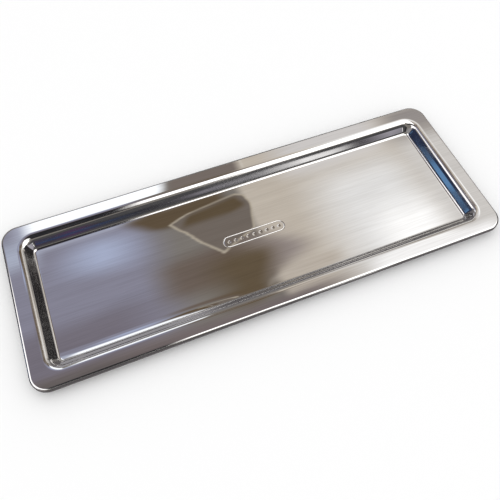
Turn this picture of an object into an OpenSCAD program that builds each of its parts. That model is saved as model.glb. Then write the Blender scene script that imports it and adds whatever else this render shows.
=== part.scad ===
// Plain oblong tray pressed from one sheet of stainless steel. A flat rim runs all the
// way round, its outer edge turned down as a short lip. The sheet rolls from the rim
// into a shallow well with sloping walls and a flat floor, which has a small mark.
//
// Lengths are in millimetres. The origin is the centre of the floor's underside, the
// face that the tray rests on. +X runs along the tray and +Z is up.

/* [Tray] */
// Length over the lip
tray_l = 300; // [200:1:450]
// Width over the lip
tray_w = 111; // [80:1:200]
// Thickness of the sheet
sheet_t = 0.8; // [0.5:0.05:1.2]

/* [Rim and lip] */
// Width of the rim, from the outside of the lip to where the sheet starts to turn down
rim_w = 8.2; // [6:0.1:14]
// Radius of the rim's outer corners
rim_corner_r = 10.5; // [4:0.5:20]
// Height of the lip, from the top of the rim to its free edge
lip_h = 3; // [2.2:0.1:5]
// Outer radius of the bend between rim and lip
lip_bend_r = 1.3; // [1.3:0.1:2]

/* [Well] */
// Depth of the floor below the top of the rim
well_depth = 7.2; // [4.5:0.1:10]
// Slope of the walls, in degrees from level
wall_slope = 53; // [35:1:65]
// Upper radius of the slow curve that leads from the rim into the roll
ease_r = 8; // [6:0.5:20]
// How far the slow curve turns down before the roll takes over, in degrees
ease_turn = 15; // [5:1:25]
// Upper radius of the roll from the slow curve into the wall
roll_r = 4; // [1.6:0.1:6]
// Upper radius of the fillet from the wall into the floor
fillet_r = 2; // [1:0.1:3]
// Radius of the flat floor's corners, in plan
floor_corner_r = 1.8; // [0.5:0.1:8]

/* [Mark] */
// Length of the mark's outline
mark_l = 42; // [34:1:60]
// Width of the mark's outline
mark_w = 8; // [6:0.5:10]
// Width of the outline's groove
mark_line_w = 0.6; // [0.3:0.1:1]
// Depth of the mark in the floor
mark_depth = 0.15; // [0.05:0.05:0.3]
// Number of round dimples in the mark
dimple_n = 9; // [3:1:9]
// Diameter of each dimple
dimple_d = 2.4; // [1:0.1:2.6]

/* [Hidden] */
$fn = 96;
arc_steps = 8;
ease_steps = 4;

// Heights above the resting plane
floor_top = sheet_t;
rim_top = floor_top + well_depth;

// Bends of the well: how far down and how far out they go together
bend_drop = ease_r * (1 - cos(ease_turn)) + roll_r * (cos(ease_turn) - cos(wall_slope))
    + fillet_r * (1 - cos(wall_slope));
bend_run = ease_r * sin(ease_turn) + roll_r * (sin(wall_slope) - sin(ease_turn))
    + fillet_r * sin(wall_slope);

// Wall: how long it is between its bends, and how far out the well goes from the floor
wall_l = (well_depth - bend_drop) / sin(wall_slope);
wall_run = bend_run + wall_l * cos(wall_slope);

// Corner centres of the well, and the well's corner radius at the edge of the rim
well_corner_r = floor_corner_r + wall_run;
well_cx = tray_l / 2 - rim_w - well_corner_r;
well_cy = tray_w / 2 - rim_w - well_corner_r;

// Corner centres of the rim, and the reach of its flat from them
rim_cx = tray_l / 2 - rim_corner_r;
rim_cy = tray_w / 2 - rim_corner_r;
rim_flat_r = rim_corner_r - lip_bend_r;

// Mark: distance from its middle to the centres of its round ends
mark_cx = (mark_l - mark_w) / 2;
cut_over = 1;

// Points along an arc from angle a0 to angle a1, leaving out the first few if told to
function arc(centre, r, a0, a1, steps = arc_steps, first = 0) = [
    for (i = [first : steps])
        let (a = a0 + (a1 - a0) * i / steps)
            centre + r * [cos(a), sin(a)]
];

// Carries a flat profile round four corner centres at (+-cx, +-cy): a quarter turn at
// each corner and a straight run to the next. The profile's x is the distance out from
// the corner centre, and its y is the height.
module sweep_round(cx, cy) {
    signs = [[1, 1], [-1, 1], [-1, -1], [1, -1]];
    for (corner = [0 : 3]) {
        run = corner % 2 == 0 ? 2 * cy : 2 * cx;
        translate([signs[corner].x * cx, signs[corner].y * cy, 0])
            rotate(90 * corner) {
                rotate_extrude(angle = 90) children();
                rotate([90, 0, 0]) linear_extrude(run) children();
            }
    }
}

// Flat plate with round corners, from height z0 up to height z1
module plate(cx, cy, corner_r, z0, z1) {
    sweep_round(cx, cy)
        translate([0, z0]) square([corner_r, z1 - z0]);
    translate([-cx, -cy, z0]) cube([2 * cx, 2 * cy, z1 - z0]);
}

// Section of the sheet from the flat floor up the wall to the start of the rim: its
// upper face by way of fillet, roll and slow curve, then its lower face back again
module well_section() {
    fillet_centre = [floor_corner_r, floor_top + fillet_r];
    ease_centre = [well_corner_r, rim_top - ease_r];
    ease_end = 90 + ease_turn;
    roll_centre = ease_centre + (ease_r - roll_r) * [cos(ease_end), sin(ease_end)];
    polygon(concat(
        arc(fillet_centre, fillet_r, -90, wall_slope - 90),
        arc(roll_centre, roll_r, 90 + wall_slope, ease_end),
        arc(ease_centre, ease_r, ease_end, 90, ease_steps, 1),
        arc(ease_centre, ease_r - sheet_t, 90, ease_end, ease_steps),
        arc(roll_centre, roll_r - sheet_t, ease_end, 90 + wall_slope, first = 1),
        arc(fillet_centre, fillet_r + sheet_t, wall_slope - 90, -90)
    ));
}

// Section of the bend at the edge of the rim and of the lip that hangs from it
module lip_section() {
    bend_centre = [rim_flat_r, rim_top - lip_bend_r];
    polygon(concat(
        arc(bend_centre, lip_bend_r, 90, 0),
        [[rim_corner_r, rim_top - lip_h], [rim_corner_r - sheet_t, rim_top - lip_h]],
        arc(bend_centre, lip_bend_r - sheet_t, 0, 90)
    ));
}

// Flat rim, open over the well
module rim() {
    difference() {
        plate(rim_cx, rim_cy, rim_flat_r, rim_top - sheet_t, rim_top);
        plate(well_cx, well_cy, well_corner_r, rim_top - sheet_t - cut_over, rim_top + cut_over);
    }
}

// Half of a ring, on the side of +X
module half_ring(outer_r, line_w) {
    difference() {
        circle(outer_r);
        circle(outer_r - line_w);
        translate([-2 * outer_r, -outer_r - cut_over])
            square([2 * outer_r, 2 * (outer_r + cut_over)]);
    }
}

// Plain mark: an outline with round ends and a row of round dimples along its middle
module mark() {
    line_offset = (mark_w - mark_line_w) / 2;
    translate([0, 0, floor_top - mark_depth])
        linear_extrude(mark_depth + cut_over) {
            for (side = [0, 180])
                rotate(side) {
                    translate([0, line_offset])
                        square([2 * mark_cx, mark_line_w], center = true);
                    translate([mark_cx, 0]) half_ring(mark_w / 2, mark_line_w);
                }
            for (i = [0 : dimple_n - 1])
                translate([mark_cx * (2 * i / (dimple_n - 1) - 1), 0]) circle(d = dimple_d);
        }
}

module tray() {
    color("silver")
        difference() {
            union() {
                plate(well_cx, well_cy, floor_corner_r, 0, floor_top);
                sweep_round(well_cx, well_cy) well_section();
                rim();
                sweep_round(rim_cx, rim_cy) lip_section();
            }
            mark();
        }
}

tray();
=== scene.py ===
from math import cos, pi, radians, sin

import bpy
from mathutils import Matrix, Vector


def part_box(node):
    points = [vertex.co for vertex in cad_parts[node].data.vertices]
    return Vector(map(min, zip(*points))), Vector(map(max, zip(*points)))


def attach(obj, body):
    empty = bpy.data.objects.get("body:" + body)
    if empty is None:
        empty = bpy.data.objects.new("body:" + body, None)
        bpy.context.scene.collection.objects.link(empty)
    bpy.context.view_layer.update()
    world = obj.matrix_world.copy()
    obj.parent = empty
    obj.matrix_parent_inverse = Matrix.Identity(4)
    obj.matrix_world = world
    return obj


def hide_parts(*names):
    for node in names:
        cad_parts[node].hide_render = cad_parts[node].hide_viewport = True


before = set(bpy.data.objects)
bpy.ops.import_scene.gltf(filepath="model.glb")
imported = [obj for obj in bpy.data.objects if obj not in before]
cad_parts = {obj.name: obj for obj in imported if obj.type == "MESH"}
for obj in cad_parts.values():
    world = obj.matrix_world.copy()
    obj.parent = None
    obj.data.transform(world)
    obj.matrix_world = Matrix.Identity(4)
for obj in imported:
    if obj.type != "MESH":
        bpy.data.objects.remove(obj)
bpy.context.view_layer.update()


# --- The sheet ---------------------------------------------------------------------
# The whole tray is one piece of 0.8 mm stainless sheet, pressed to shape in one stroke:
# flat rim, lip turned down at its edge, roll, sloping wall, fillet and flat floor. A
# plain mark, an outline with round ends and a row of dimples, is coined in the floor.

tray_low, tray_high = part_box("tray")
MM = 0.001
sheet_t = 0.8 * MM
rim_w = 8.2 * MM
rim_corner_r = 10.5 * MM
lip_h = 3.0 * MM
lip_bend_r = 1.3 * MM
lip_edge_r = 0.2 * MM
wall_slope = radians(53)
ease_r = 8.0 * MM
ease_turn = radians(15)
roll_r = 4.0 * MM
fillet_r = 2.0 * MM
floor_corner_r = 1.8 * MM
lead_l = 0.25 * MM

rim_top = tray_high.z
floor_top = tray_low.z + sheet_t
well_depth = rim_top - floor_top
bends = [(ease_r, 0, ease_turn), (roll_r, ease_turn, wall_slope), (fillet_r, 0, wall_slope)]
bend_drop = sum(radius * (cos(start) - cos(end)) for radius, start, end in bends)
bend_run = sum(radius * (sin(end) - sin(start)) for radius, start, end in bends)
wall_l = (well_depth - bend_drop) / sin(wall_slope)
wall_run = bend_run + wall_l * cos(wall_slope)
well_corner_r = floor_corner_r + wall_run
rim_flat_r = rim_corner_r - lip_bend_r


def bend(out, height, radius, start, end, steps, leads=(lead_l, lead_l)):
    """Points round a bend of the section, with a short straight lead at each end."""
    side = 1 if end > start else -1
    turns = [start + (end - start) * i / steps for i in range(steps + 1)]
    points = [(out + radius * cos(a), height + radius * sin(a)) for a in turns]
    ends = [(start, points[0], -side * leads[0]), (end, points[-1], side * leads[1])]
    before, after = [(x - reach * sin(a), z + reach * cos(a)) for a, (x, z), reach in ends]
    return [before] * bool(leads[0]) + points + [after] * bool(leads[1])


def ease_and_roll(thinner, roll_steps, ease_steps):
    """The two bends from the rim into the wall, from the wall's end upwards."""
    ease_end = level + ease_turn
    out = well_corner_r + (ease_r - roll_r) * cos(ease_end)
    height = rim_top - ease_r + (ease_r - roll_r) * sin(ease_end)
    roll = bend(out, height, roll_r - thinner, level + wall_slope, ease_end, roll_steps, (lead_l, 0))
    ease = bend(well_corner_r, rim_top - ease_r, ease_r - thinner, ease_end, level, ease_steps, (0, lead_l))
    return roll + ease[1:]


# The section, from the middle of the floor's upper face out over the rim, round the
# lip's free edge and back under the sheet. Each point is the way out from a corner
# centre and a height; on_rim says whether that is the rim's or the well's centre.
level = pi / 2
down = -pi / 2
lip_low = rim_top - lip_h + lip_edge_r
no_leads = (0, 0)
section = [
    (0, [(0, floor_top)]),
    (0, bend(floor_corner_r, floor_top + fillet_r, fillet_r, down, down + wall_slope, 10)),
    (0, ease_and_roll(0, 11, 5)),
    (1, bend(rim_flat_r, rim_top - lip_bend_r, lip_bend_r, level, 0, 8)),
    (1, bend(rim_corner_r - lip_edge_r, lip_low, lip_edge_r, 0, down, 3, no_leads)),
    (1, bend(rim_corner_r - sheet_t + lip_edge_r, lip_low, lip_edge_r, down, -pi, 3, no_leads)),
    (1, bend(rim_flat_r, rim_top - lip_bend_r, lip_bend_r - sheet_t, 0, level, 5)),
    (0, ease_and_roll(sheet_t, 6, 3)[::-1]),
    (0, bend(floor_corner_r, floor_top + fillet_r, fillet_r + sheet_t, down + wall_slope, down, 6)),
    (0, [(0, tray_low.z)]),
]
points = [(x, 0, z) for _, part in section for x, z in part]
on_rim = [flag for flag, part in section for _ in part]
section_mesh = bpy.data.meshes.new("tray_section")
section_mesh.from_pydata(points, [(i, i + 1) for i in range(len(points) - 1)], [])
section_mesh.attributes.new("on_rim", "FLOAT", "POINT").data.foreach_set("value", on_rim)
section_object = bpy.data.objects.new("tray_section", section_mesh)
bpy.context.scene.collection.objects.link(section_object)


def socket_in(node, key, value):
    """Links value to a node's input if it is a socket, and else sets it there."""
    if isinstance(value, bpy.types.NodeSocket):
        node.id_data.links.new(value, node.inputs[key])
    elif value is not None:
        node.inputs[key].default_value = value


def add(tree, kind, *values, **settings):
    """A new node with its settings made and its inputs filled in order."""
    node = tree.nodes.new(kind)
    for key, value in settings.items():
        setattr(node, key, value)
    for key, value in enumerate(values):
        socket_in(node, key, value)
    return node


def calc(tree, operation, *values, clamp=False):
    """The result of one step of arithmetic in a node tree."""
    return add(tree, "ShaderNodeMath", *values, operation=operation, use_clamp=clamp).outputs[0]


def named_inputs(tree, sockets):
    """Gives a geometry tree its named inputs, and returns their sockets by name."""
    tree.interface.new_socket("Geometry", in_out="OUTPUT", socket_type="NodeSocketGeometry")
    for name, kind in sockets.items():
        tree.interface.new_socket(name, in_out="INPUT", socket_type="NodeSocket" + kind)
    return tree.nodes.new("NodeGroupInput").outputs


def stretch(tree, step, half, dense_half, outer_steps, dense_steps):
    """Place along a side from +half to -half: even steps, but close together round the middle."""
    outer = calc(tree, "SUBTRACT", half, dense_half)
    first = calc(tree, "DIVIDE", step, outer_steps, clamp=True)
    step_2 = calc(tree, "SUBTRACT", step, outer_steps)
    second = calc(tree, "DIVIDE", step_2, dense_steps, clamp=True)
    third = calc(tree, "DIVIDE", calc(tree, "SUBTRACT", step_2, dense_steps), outer_steps, clamp=True)
    outers = calc(tree, "MULTIPLY", calc(tree, "ADD", first, third), outer)
    middle = calc(tree, "MULTIPLY", second, calc(tree, "MULTIPLY", dense_half, 2))
    return calc(tree, "SUBTRACT", half, calc(tree, "ADD", outers, middle))


sweep = bpy.data.node_groups.new("sheet round a tray", "GeometryNodeTree")
inp = named_inputs(sweep, {
    "Section": "Geometry", "Well Half Length": "Float", "Well Half Width": "Float",
    "Rim Half Length": "Float", "Rim Half Width": "Float", "Floor Top": "Float",
    "Floor Underside": "Float", "Mark Length": "Float", "Mark Width": "Float",
    "Mark Line": "Float", "Mark Depth": "Float", "Dimple Pitch": "Float",
    "Dimple Diameter": "Float", "Corner Steps": "Int", "Outer Steps": "Int",
    "Mark Steps Along": "Int", "Mark Steps Across": "Int", "Material": "Material",
})
mark_margin = 1.0 * MM
dense_x = calc(sweep, "ADD", calc(sweep, "MULTIPLY", inp["Mark Length"], 0.5), mark_margin)
dense_y = calc(sweep, "ADD", calc(sweep, "MULTIPLY", inp["Mark Width"], 0.5), mark_margin)
outer_2 = calc(sweep, "MULTIPLY", inp["Outer Steps"], 2)
steps_x = calc(sweep, "ADD", outer_2, inp["Mark Steps Along"])
steps_y = calc(sweep, "ADD", outer_2, inp["Mark Steps Across"])
corner_2 = calc(sweep, "MULTIPLY", inp["Corner Steps"], 2)
half_turn = calc(sweep, "ADD", corner_2, calc(sweep, "ADD", steps_x, steps_y))

# The band: the section is carried round a quarter turn at each corner and along each
# side. Both half turns are alike, so the second is the first turned about the middle.
section_count = add(sweep, "GeometryNodeAttributeDomainSize", inp["Section"]).outputs["Point Count"]
loop_count = calc(sweep, "ADD", calc(sweep, "MULTIPLY", half_turn, 2), 1)
band = add(sweep, "GeometryNodeMeshGrid", 1, 1, loop_count, section_count).outputs["Mesh"]
index = add(sweep, "GeometryNodeInputIndex").outputs[0]
along_section = calc(sweep, "MODULO", index, section_count)
along_loop = calc(sweep, "FLOOR", calc(sweep, "DIVIDE", calc(sweep, "ADD", index, 0.5), section_count))
half = calc(sweep, "FLOOR", calc(sweep, "DIVIDE", calc(sweep, "ADD", along_loop, 0.5), half_turn))
step = calc(sweep, "SUBTRACT", along_loop, calc(sweep, "MULTIPLY", half, half_turn))
sign = calc(sweep, "SUBTRACT", 1, calc(sweep, "MULTIPLY", calc(sweep, "MODULO", half, 2), 2))
side_x = calc(sweep, "SUBTRACT", step, inp["Corner Steps"])
corner_b = calc(sweep, "SUBTRACT", side_x, steps_x)
side_y = calc(sweep, "SUBTRACT", corner_b, inp["Corner Steps"])
turn_a = calc(sweep, "DIVIDE", step, inp["Corner Steps"], clamp=True)
turn_b = calc(sweep, "DIVIDE", corner_b, inp["Corner Steps"], clamp=True)
angle = calc(sweep, "MULTIPLY", calc(sweep, "ADD", turn_a, turn_b), pi / 2)


def sampled(kind, value):
    """A value of the section at this point of the band."""
    node = add(sweep, "GeometryNodeSampleIndex", data_type=kind, domain="POINT")
    socket_in(node, "Geometry", inp["Section"])
    socket_in(node, "Value", value)
    socket_in(node, "Index", along_section)
    return node.outputs[0]


place = add(sweep, "ShaderNodeSeparateXYZ",
            sampled("FLOAT_VECTOR", add(sweep, "GeometryNodeInputPosition").outputs[0]))
rim_flag = sampled("FLOAT", add(sweep, "GeometryNodeInputNamedAttribute", "on_rim",
                                data_type="FLOAT").outputs[0])


def centre_line(well, rim, dense, steps, side_step):
    """Where the corner centre is, from one corner to the next, for the rim or the well."""
    reach = calc(sweep, "SUBTRACT", rim, well)
    extent = calc(sweep, "MULTIPLY_ADD", rim_flag, reach, well)
    return stretch(sweep, side_step, extent, dense, inp["Outer Steps"], steps)


x_line = centre_line(inp["Well Half Length"], inp["Rim Half Length"], dense_x,
                     inp["Mark Steps Along"], side_x)
y_line = centre_line(inp["Well Half Width"], inp["Rim Half Width"], dense_y,
                     inp["Mark Steps Across"], side_y)
x = calc(sweep, "MULTIPLY_ADD", place.outputs["X"], calc(sweep, "COSINE", angle), x_line)
y = calc(sweep, "MULTIPLY_ADD", place.outputs["X"], calc(sweep, "SINE", angle), y_line)
there = add(sweep, "ShaderNodeCombineXYZ", calc(sweep, "MULTIPLY", x, sign),
            calc(sweep, "MULTIPLY", y, sign), place.outputs["Z"]).outputs[0]
band = add(sweep, "GeometryNodeSetPosition", band, True, there).outputs[0]
band = add(sweep, "GeometryNodeFlipFaces", band).outputs[0]

# The two faces of the floor between the corner centres, on the same steps as the band.
count_x = calc(sweep, "ADD", steps_x, 1)
count_y = calc(sweep, "ADD", steps_y, 1)
row = calc(sweep, "FLOOR", calc(sweep, "DIVIDE", calc(sweep, "ADD", index, 0.5), count_y))
column = calc(sweep, "MODULO", index, count_y)
floor_x = stretch(sweep, row, inp["Well Half Length"], dense_x, inp["Outer Steps"],
                  inp["Mark Steps Along"])
floor_y = stretch(sweep, column, inp["Well Half Width"], dense_y, inp["Outer Steps"],
                  inp["Mark Steps Across"])

# The mark: depth 1 in the middle of the outline's groove and of each dimple, 0 outside.
mark_r = calc(sweep, "MULTIPLY", inp["Mark Width"], 0.5)
mark_half = calc(sweep, "SUBTRACT", calc(sweep, "MULTIPLY", inp["Mark Length"], 0.5), mark_r)
past_end = calc(sweep, "MAXIMUM", calc(sweep, "SUBTRACT", calc(sweep, "ABSOLUTE", floor_x), mark_half), 0)
from_axis = add(sweep, "ShaderNodeVectorMath",
                add(sweep, "ShaderNodeCombineXYZ", past_end, floor_y, 0).outputs[0],
                operation="LENGTH").outputs["Value"]
half_line = calc(sweep, "MULTIPLY", inp["Mark Line"], 0.5)
line_r = calc(sweep, "SUBTRACT", mark_r, half_line)
off_line = calc(sweep, "ABSOLUTE", calc(sweep, "SUBTRACT", from_axis, line_r))
off_share = calc(sweep, "DIVIDE", off_line, half_line)
groove_easing = 0.3
groove = calc(sweep, "SMOOTH_MIN", off_share, 1, groove_easing)
groove = calc(sweep, "SUBTRACT", 1, groove, clamp=True)
nearest = calc(sweep, "ROUND", calc(sweep, "DIVIDE", floor_x, inp["Dimple Pitch"]))
nearest = calc(sweep, "MULTIPLY", nearest, inp["Dimple Pitch"])
past_dimple = calc(sweep, "SUBTRACT", floor_x, nearest)
from_dimple = add(sweep, "ShaderNodeVectorMath",
                  add(sweep, "ShaderNodeCombineXYZ", past_dimple, floor_y, 0).outputs[0],
                  operation="LENGTH").outputs["Value"]
reach = calc(sweep, "DIVIDE", from_dimple, calc(sweep, "MULTIPLY", inp["Dimple Diameter"], 0.5))
bowl = calc(sweep, "SUBTRACT", 1, calc(sweep, "MULTIPLY", reach, reach), clamp=True)
in_row = calc(sweep, "LESS_THAN", calc(sweep, "ABSOLUTE", nearest),
              calc(sweep, "ADD", mark_half, calc(sweep, "MULTIPLY", inp["Dimple Pitch"], 0.5)))
relief = calc(sweep, "MAXIMUM", groove, calc(sweep, "MULTIPLY", bowl, in_row))
marked = calc(sweep, "SUBTRACT", inp["Floor Top"], calc(sweep, "MULTIPLY", relief, inp["Mark Depth"]))
faces = []
for height in (marked, inp["Floor Underside"]):
    grid = add(sweep, "GeometryNodeMeshGrid", 1, 1, count_x, count_y).outputs["Mesh"]
    spot = add(sweep, "ShaderNodeCombineXYZ", floor_x, floor_y, height).outputs[0]
    faces.append(add(sweep, "GeometryNodeSetPosition", grid, True, spot).outputs[0])
faces[1] = add(sweep, "GeometryNodeFlipFaces", faces[1]).outputs[0]

joined = sweep.nodes.new("GeometryNodeJoinGeometry")
for part in (band, *faces):
    sweep.links.new(part, joined.inputs[0])
weld_gap = 0.002 * MM
welded = add(sweep, "GeometryNodeMergeByDistance", joined.outputs[0], True, weld_gap).outputs[0]
smooth = add(sweep, "GeometryNodeSetShadeSmooth", welded, True, True).outputs[0]
real = add(sweep, "GeometryNodeRealizeInstances", smooth).outputs[0]
finished = add(sweep, "GeometryNodeSetMaterial", real, True, inp["Material"]).outputs[0]
add(sweep, "NodeGroupOutput", finished)

# The steel: satin from brushing along the sheet, before it was pressed. The tool has
# polished the bends and the wall, and use has left hairlines and smears.
steel = bpy.data.materials.new("brushed stainless steel")
steel.use_nodes = True
tree = steel.node_tree
shader = tree.nodes["Principled BSDF"]
spot = add(tree, "ShaderNodeTexCoord").outputs["Object"]
facing = add(tree, "ShaderNodeNewGeometry").outputs["Normal"]


def stretched_noise(length, width, detail, turn=0, distortion=0.0, seed=0):
    """Noise from 0 to 1 in streaks of this length and width, turned on the sheet."""
    laid = add(tree, "ShaderNodeMapping", spot, (0, 0, seed * 0.37), (0, 0, radians(turn)),
               (1 / length, 1 / width, 1 / width)).outputs[0]
    noise = add(tree, "ShaderNodeTexNoise", laid, None, 1.0, detail, 0.55, 2.0, 0, 1.0, distortion)
    return noise.outputs["Fac"]


def ramp(value, low, high, to_low=0.0, to_high=1.0):
    """The value taken from one range to another, eased and held at the ends."""
    return add(tree, "ShaderNodeMapRange", value, low, high, to_low, to_high,
               interpolation_type="SMOOTHSTEP").outputs[0]


def blend_colours(amount, first, second):
    """One colour faded into another."""
    node = add(tree, "ShaderNodeMix", amount, data_type="RGBA")
    socket_in(node, 6, first)
    socket_in(node, 7, second)
    return node.outputs[2]


grain = stretched_noise(28 * MM, 0.7 * MM, 3, seed=1)
streaks = stretched_noise(60 * MM, 4.5 * MM, 2, distortion=0.3, seed=2)
haze = stretched_noise(70 * MM, 32 * MM, 2, distortion=0.6, seed=3)
sway = stretched_noise(75 * MM, 38 * MM, 0, seed=4)
hairlines = [ramp(stretched_noise(16 * MM, 0.35 * MM, 1, turn, seed=5 + i), 0.73, 0.78)
             for i, turn in enumerate((24, -31, 78))]
upright_share = add(tree, "ShaderNodeSeparateXYZ", facing).outputs["Z"]
level_part = ramp(calc(tree, "ABSOLUTE", upright_share), 0.95, 0.998)
scratch = calc(tree, "MAXIMUM", calc(tree, "MAXIMUM", hairlines[0], hairlines[1]), hairlines[2])
scratch = calc(tree, "MULTIPLY", scratch, ramp(haze, 0.35, 0.6))

satin = calc(tree, "ADD", ramp(haze, 0.42, 0.68, 0.055, 0.17), ramp(streaks, 0.3, 0.7, -0.02, 0.03))
satin = calc(tree, "ADD", satin, ramp(grain, 0.3, 0.7, -0.015, 0.02))
satin = calc(tree, "ADD", satin, calc(tree, "MULTIPLY", scratch, 0.08))
polished = ramp(grain, 0.3, 0.7, 0.05, 0.075)
rough = add(tree, "ShaderNodeMix", level_part, polished, satin, data_type="FLOAT").outputs[0]
socket_in(shader, "Roughness", rough)

colour = blend_colours(ramp(streaks, 0.3, 0.7), (0.585, 0.57, 0.555, 1), (0.63, 0.615, 0.60, 1))
fine = calc(tree, "MULTIPLY", ramp(grain, 0.3, 0.7), 0.5)
colour = blend_colours(fine, colour, (0.70, 0.69, 0.68, 1))
colour = blend_colours(calc(tree, "MULTIPLY", scratch, 0.5), colour, (0.78, 0.77, 0.76, 1))
socket_in(shader, "Base Color", colour)
shader.inputs["Metallic"].default_value = 1

# The surface leans a little: with the grain, in slow waves, where the left part of the
# floor has sprung up at its near edge, along the lines that the tool has drawn on the
# wall, and at the wall's top and foot, because the wall is slightly hollow.
lean_y = calc(tree, "MULTIPLY", calc(tree, "SUBTRACT", grain, 0.5), 0.0025)
lean_y = calc(tree, "MULTIPLY_ADD", calc(tree, "SUBTRACT", streaks, 0.5), 0.001, lean_y)
lean_y = calc(tree, "MULTIPLY_ADD", calc(tree, "SUBTRACT", sway, 0.5), 0.012, lean_y)
lean_x = calc(tree, "MULTIPLY", calc(tree, "SUBTRACT", haze, 0.5), 0.008)
place = add(tree, "ShaderNodeSeparateXYZ", spot)
near_edge = rim_w + wall_run - tray_high.y
spring_w = 6 * MM
spring_lean = 0.125
full_spring_x = -60 * MM
sprung = ramp(place.outputs["Y"], near_edge + spring_w, near_edge, 0, spring_lean)
on_floor = calc(tree, "LESS_THAN", place.outputs["Z"], floor_top + 0.02 * MM)
sprung = calc(tree, "MULTIPLY", sprung, on_floor)
sprung = calc(tree, "MULTIPLY", sprung, ramp(place.outputs["X"], 0, full_spring_x))
lean_y = calc(tree, "ADD", lean_y, sprung)
lean = add(tree, "ShaderNodeCombineXYZ", lean_x, lean_y, 0).outputs[0]
draw_line_l = 150 * MM
draw_line_w = 1.1 * MM
draw_lean_most = 0.18
along_wall = add(tree, "ShaderNodeMapping", spot, (0, 0, 0), (0, 0, 0),
                 (1 / draw_line_l, 1 / draw_line_l, 1 / draw_line_w)).outputs[0]
drawn = add(tree, "ShaderNodeTexNoise", along_wall, None, 1.0, 1, 0.5, 2.0, 0, 1.0, 0.0).outputs["Fac"]
drawn = calc(tree, "MULTIPLY", calc(tree, "SUBTRACT", drawn, 0.5), draw_lean_most)
wall_top = rim_top - ease_r * (1 - cos(ease_turn)) - roll_r * (cos(ease_turn) - cos(wall_slope))
wall_foot = floor_top + fillet_r * (1 - cos(wall_slope))
hollow_lean = -0.20
for end, reach in ((wall_top, -2.0 * MM), (wall_foot, 1.3 * MM)):
    drawn = calc(tree, "ADD", drawn, ramp(place.outputs["Z"], end, end + reach, hollow_lean, 0))
drawn = calc(tree, "MULTIPLY", drawn, calc(tree, "SUBTRACT", 1, level_part))
outward = add(tree, "ShaderNodeVectorMath", facing, (1, 1, 0), operation="MULTIPLY").outputs[0]
draw_lean = add(tree, "ShaderNodeVectorMath", outward, operation="SCALE")
socket_in(draw_lean, "Scale", drawn)
leaning = facing
for part in (lean, draw_lean.outputs[0]):
    leaning = add(tree, "ShaderNodeVectorMath", leaning, part, operation="ADD").outputs[0]
leaning = add(tree, "ShaderNodeVectorMath", leaning, operation="NORMALIZE").outputs[0]
socket_in(shader, "Normal", leaning)

mark_l = 42 * MM
mark_w = 8 * MM
dimple_count = 9
sizes = {
    "Well Half Length": tray_high.x - rim_w - well_corner_r,
    "Well Half Width": tray_high.y - rim_w - well_corner_r,
    "Rim Half Length": tray_high.x - rim_corner_r,
    "Rim Half Width": tray_high.y - rim_corner_r,
    "Floor Top": floor_top,
    "Floor Underside": tray_low.z,
    "Mark Length": mark_l,
    "Mark Width": mark_w,
    "Mark Line": 0.7 * MM,
    "Mark Depth": 0.1 * MM,
    "Dimple Pitch": (mark_l - mark_w) / (dimple_count - 1),
    "Dimple Diameter": 2.4 * MM,
    "Corner Steps": 18,
    "Outer Steps": 12,
    "Mark Steps Along": 220,
    "Mark Steps Across": 50,
    "Material": steel,
}
modifier = section_object.modifiers.new("sheet", "NODES")
modifier.node_group = sweep
for item in sweep.interface.items_tree:
    if item.in_out == "INPUT" and item.name in sizes:
        modifier[item.identifier] = sizes[item.name]
section_object.update_tag()
bpy.context.view_layer.update()
evaluated = section_object.evaluated_get(bpy.context.evaluated_depsgraph_get())
tray_mesh = bpy.data.meshes.new_from_object(evaluated)
tray_mesh.name = "tray_sheet"
tray_mesh.materials.clear()
tray_mesh.materials.append(steel)
tray = bpy.data.objects.new("tray_sheet", tray_mesh)
bpy.context.scene.collection.objects.link(tray)
bpy.data.objects.remove(section_object)

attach(tray, "root")
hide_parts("tray")


# --- The table top -----------------------------------------------------------------
# A plain pale sheet of studio paper that the tray lies on.

paper = bpy.data.materials.new("pale paper")
paper.use_nodes = True
paper.node_tree.nodes["Principled BSDF"].inputs["Base Color"].default_value = (0.9, 0.9, 0.9, 1)
paper.node_tree.nodes["Principled BSDF"].inputs["Roughness"].default_value = 0.9
paper_side = 12
bpy.ops.mesh.primitive_plane_add(size=paper_side, location=(0, 0, tray_low.z))
table = bpy.context.object
table.name = "table_top"
table.data.materials.append(paper)
table.visible_glossy = False


# --- The camera --------------------------------------------------------------------
# It looks down at the tray from the front and a little to the left.

azimuth, height_angle, roll = radians(-22.81), radians(60.01), radians(1.23)
distance, aside, above = 1.161, -0.0095, -0.0466
tray_length = tray_high.x - tray_low.x
back = Vector((sin(azimuth) * cos(height_angle), -cos(azimuth) * cos(height_angle), sin(height_angle)))
right = Vector((cos(azimuth), sin(azimuth), 0))
up = back.cross(right)
rolled_right = cos(roll) * right + sin(roll) * up
rolled_up = -sin(roll) * right + cos(roll) * up
eye = (back * distance + rolled_right * aside + rolled_up * above) * tray_length
eye.z += rim_top
camera_data = bpy.data.cameras.new("camera")
camera_data.lens = 39.8
camera_data.clip_start = 0.01
camera = bpy.data.objects.new("camera", camera_data)
bpy.context.scene.collection.objects.link(camera)
turn = Matrix((rolled_right, rolled_up, back)).transposed().to_4x4()
camera.matrix_world = Matrix.Translation(eye) @ turn
bpy.context.scene.camera = camera


# --- The studio --------------------------------------------------------------------
# Even light falls on the paper from all round. The steel is bright enough to mirror the
# room, so it has a room of its own: a ceiling with soft panels of light and shade, and
# cards round the sides. Both show only in reflections.

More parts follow.
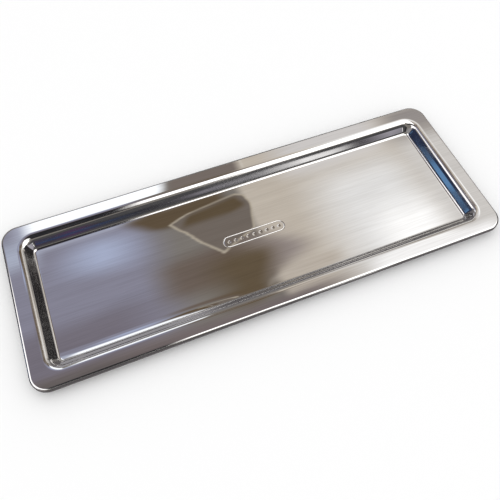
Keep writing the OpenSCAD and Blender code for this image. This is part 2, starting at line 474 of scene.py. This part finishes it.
scene = bpy.context.scene
world = bpy.data.worlds.new("studio")
scene.world = world
world.use_nodes = True
sky = world.node_tree
backdrop = sky.nodes["Background"]
ray = add(sky, "ShaderNodeLightPath")
shade = add(sky, "ShaderNodeMix", ray.outputs["Is Glossy Ray"], data_type="RGBA")
socket_in(shade, 6, (1.1, 1.1, 1.1, 1))
socket_in(backdrop, "Color", shade.outputs[2])
scene.view_settings.view_transform = "Standard"


def mirror_only(thing):
    """Marks a card that lights nothing and shows only in reflections."""
    thing.visible_camera = False
    thing.visible_diffuse = False
    thing.visible_shadow = False


def panel_light(tree, across, along, ground, panels):
    """The colour at a spot of a card that carries soft-edged panels of light and shade."""
    light = ground
    for name, soft, colour, corners in panels:
        mask = 1.0
        for start, end in zip(corners, corners[1:] + corners[:1]):
            side = Vector((end[0] - start[0], end[1] - start[1])).normalized()
            inside = calc(tree, "MULTIPLY_ADD", across, -side.y, side.y * start[0] - side.x * start[1])
            inside = calc(tree, "MULTIPLY_ADD", along, side.x, inside)
            fade = Vector((soft[0] * side.y, soft[1] * side.x)).length
            edge = add(tree, "ShaderNodeMapRange", inside, -fade, fade, 0, 1,
                       interpolation_type="SMOOTHSTEP").outputs[0]
            mask = calc(tree, "MULTIPLY", mask, edge)
        blend = add(tree, "ShaderNodeMix", mask, data_type="RGBA")
        socket_in(blend, 6, light)
        socket_in(blend, 7, (*colour, 1))
        light = blend.outputs[2]
    return light


def shrunk(corners, share):
    """The same outline, this share of its size."""
    middle = [sum(along) / len(corners) for along in zip(*corners)]
    return [tuple(m + (c - m) * share for m, c in zip(middle, corner)) for corner in corners]


def box_of(left, right, low, high):
    """The four corners of an upright panel."""
    return [(left, low), (right, low), (right, high), (left, high)]


# The ceiling is laid out by the spots of the tray where the camera sees it mirrored: a
# panel has soft edges along X and Y, a brightness in red, green and blue, and the corners
# of its mirror image. Edges and corners are in millimetres on the tray.
ceiling_height = 1.6
ceiling_width = 4.2
spread = ceiling_height / (eye.z - floor_top)
fan = [(-23.5, -8), (2, 2), (6.5, 20), (5, 29), (0, 32.5), (-36, 29.5), (-49.5, 25)]
ceiling_panels = [
    ("beige wall", (4, 10), (0.79, 0.72, 0.63), box_of(3, 260, -120, 80)),
    ("far wall", (16, 8), (0.94, 0.92, 0.92), box_of(36, 114, 34, 80)),
    ("white wall", (24, 22), (1.17, 1.18, 1.19), box_of(50, 119, -130, 26)),
    ("end wall", (9, 10), (0.94, 0.92, 0.90), box_of(123, 260, -130, 36)),
    ("near glow", (16, 16), (1.58, 1.6, 1.62), box_of(78, 121, -100, -16)),
    ("far corner", (12, 12), (0.46, 0.43, 0.42), box_of(120, 190, 34, 60)),
    ("left wall", (18, 12), (0.36, 0.36, 0.47), box_of(-220, -62, -46, 70)),
    ("left shade", (28, 8), (0.27, 0.25, 0.31), box_of(-220, -76, -60, -18)),
    ("left window", (20, 8), (0.58, 0.66, 0.92), [(-116, 12), (-78, 8), (-74, 28), (-108, 32)]),
    ("cupboard haze", (14, 7), (0.225, 0.18, 0.155), box_of(-64, 4, -27, 0)),
    ("cupboard side", (14, 8), (0.44, 0.385, 0.37),
     [(-10, -4), (-10, -34), (12, -31), (33, -21), (20, -8)]),
    ("cupboard", (17, 9), (0.18, 0.135, 0.085),
     [(-38, -10), (-30, -46), (-4, -46), (4, -34), (14, -18), (2, -9)]),
    ("pale patch", (8, 2.5), (0.75, 0.68, 0.60), [(-2, -36), (44, -38), (44, -30), (10, -31)]),
    ("near shade", (26, 4), (0.26, 0.22, 0.225), box_of(-200, 37, -90, -47)),
    ("near left shade", (24, 4), (0.20, 0.18, 0.18), box_of(-200, -104, -90, -48)),
    ("near light", (10, 4), (1.45, 1.46, 1.48), box_of(62, 150, -110, -46)),
    ("shelf", (7, 3), (0.17, 0.125, 0.080), [(-60, 24), (-44, 22), (-8, 30), (-8, 42), (-84, 42)]),
    ("lampshade rim", (1.2, 1.0), (0.68, 0.61, 0.50), fan),
    ("lampshade", (1.2, 1.0), (0.245, 0.21, 0.185), shrunk(fan, 0.945)),
    ("lampshade top", (3, 3), (0.165, 0.122, 0.075),
     [(-42, 20), (-6, 18), (2.5, 21), (-1.5, 30.5), (-35, 27.8)]),
    ("window glow", (14, 6), (0.95, 1.05, 1.3), box_of(-136, -72, 39, 70)),
    ("window", (6, 3.5), (1.62, 1.7, 1.8),
     [(-134, 42), (-68, 42), (-44, 53), (-40, 110), (-134, 110)]),
    ("far shade", (4, 3), (0.27, 0.23, 0.21), [(-50, 38), (9, 40), (9, 66), (-34, 66)]),
    ("far line", (1.5, 2), (0.90, 0.85, 0.77), box_of(11.5, 12.5, 40, 60)),
    ("left end glow", (7, 8), (0.60, 0.66, 0.84), box_of(-156, -132, 28, 46)),
    ("back light", (20, 20), (1.2, 1.18, 1.15), box_of(74, 300, 120, 230)),
    ("back wall", (20, 20), (0.72, 0.66, 0.58), box_of(36, 66, 120, 230)),
    ("left dark", (8, 8), (0.03, 0.03, 0.035), box_of(-156, -68, -330, -56)),
    ("overhead light", (10, 6), (2.4, 2.4, 2.4), box_of(-66, 260, -215, -66)),
    ("front light", (10, 10), (2.4, 2.4, 2.4), box_of(4, 260, -330, -205)),
    ("left light", (8, 10), (1.9, 1.9, 1.95), box_of(-400, -158, -200, 30)),
]
bpy.ops.mesh.primitive_plane_add(size=ceiling_width, location=(0, 0, ceiling_height))
ceiling = bpy.context.object
ceiling.name = "ceiling"
plaster = bpy.data.materials.new("ceiling panels")
plaster.use_nodes = True
tree = plaster.node_tree
tree.nodes.clear()
there = add(tree, "ShaderNodeSeparateXYZ", add(tree, "ShaderNodeNewGeometry").outputs["Position"])
images = [calc(tree, "MULTIPLY_ADD", there.outputs[axis], 1 / (1 + spread) / MM,
               spread * eye[axis] / (1 + spread) / MM) for axis in (0, 1)]
ceiling_light = panel_light(tree, *images, (0.30, 0.28, 0.26, 1), ceiling_panels)
glow = add(tree, "ShaderNodeEmission", ceiling_light, 1.0)
add(tree, "ShaderNodeOutputMaterial", glow.outputs[0])
ceiling.data.materials.append(plaster)
mirror_only(ceiling)

# Below the ceiling's edge are the room's sides. Their soft edges and corners are in
# degrees, round from the way of +X and up from the table. Later panels cover earlier ones.
side_panels = [
    ("left room", (6, 4), (0.42, 0.41, 0.43), box_of(-260, -126, 4, 60)),
    ("left room round", (3, 4), (0.42, 0.41, 0.43), box_of(174, 260, 4, 60)),
    ("front room", (6, 4), (0.09, 0.09, 0.095), box_of(-104, -44, 22, 60)),
    ("front right room", (5, 4), (0.40, 0.38, 0.37), box_of(-34, -20, 4, 60)),
    ("back right room", (4, 4), (0.30, 0.29, 0.28), box_of(38, 60, 9, 60)),
    ("table edge front", (6, 2), (0.17, 0.16, 0.165), box_of(-260, 5, -120, -3)),
    ("table edge left", (6, 2), (0.17, 0.16, 0.165), box_of(112, 260, -120, -3)),
    ("table edge right", (6, 3), (0.17, 0.16, 0.165), box_of(0, 118, -120, -24)),
    ("back low", (8, 3), (0.22, 0.21, 0.22), box_of(58, 134, 9, 60)),
    ("back left light", (3, 4), (0.60, 0.60, 0.66), box_of(84, 106, 14, 30)),
    ("right side", (3, 3), (0.65, 0.61, 0.58), box_of(20, 34, 16, 36)),
    ("navy curtain", (5, 3), (0.03, 0.042, 0.09), box_of(138, 170, 8, 38)),
    ("blue curtain", (1.4, 2.0), (0.17, 0.36, 0.66), box_of(152.6, 157.2, 8, 21)),
    ("left side", (5, 4), (1.5, 1.5, 1.55), box_of(118, 152, 44, 62)),
    ("front card", (2.5, 2), (1.9, 1.9, 1.92), box_of(-72, -66, 8, 22)),
    ("front card right", (3, 2), (0.55, 0.53, 0.6), box_of(-62, -20, 12, 22)),
    ("front card left", (4, 2), (0.50, 0.48, 0.56), box_of(-82, -77, 12, 20)),
    ("violet bottle", (1.5, 2), (0.10, 0.05, 0.12), box_of(-97, -94, 17, 25)),
    ("navy bottle", (3, 2), (0.043, 0.075, 0.17), box_of(-106, -90, 14, 20)),
]
toward = add(sky, "ShaderNodeSeparateXYZ", add(sky, "ShaderNodeTexCoord").outputs["Generated"])
round_angle = calc(sky, "DEGREES", calc(sky, "ARCTAN2", toward.outputs["Y"], toward.outputs["X"]))
up_angle = calc(sky, "DEGREES", calc(sky, "ARCSINE", toward.outputs["Z"]))
side_light = panel_light(sky, round_angle, up_angle, (0.035, 0.033, 0.036, 1), side_panels)
socket_in(shade, 7, side_light)
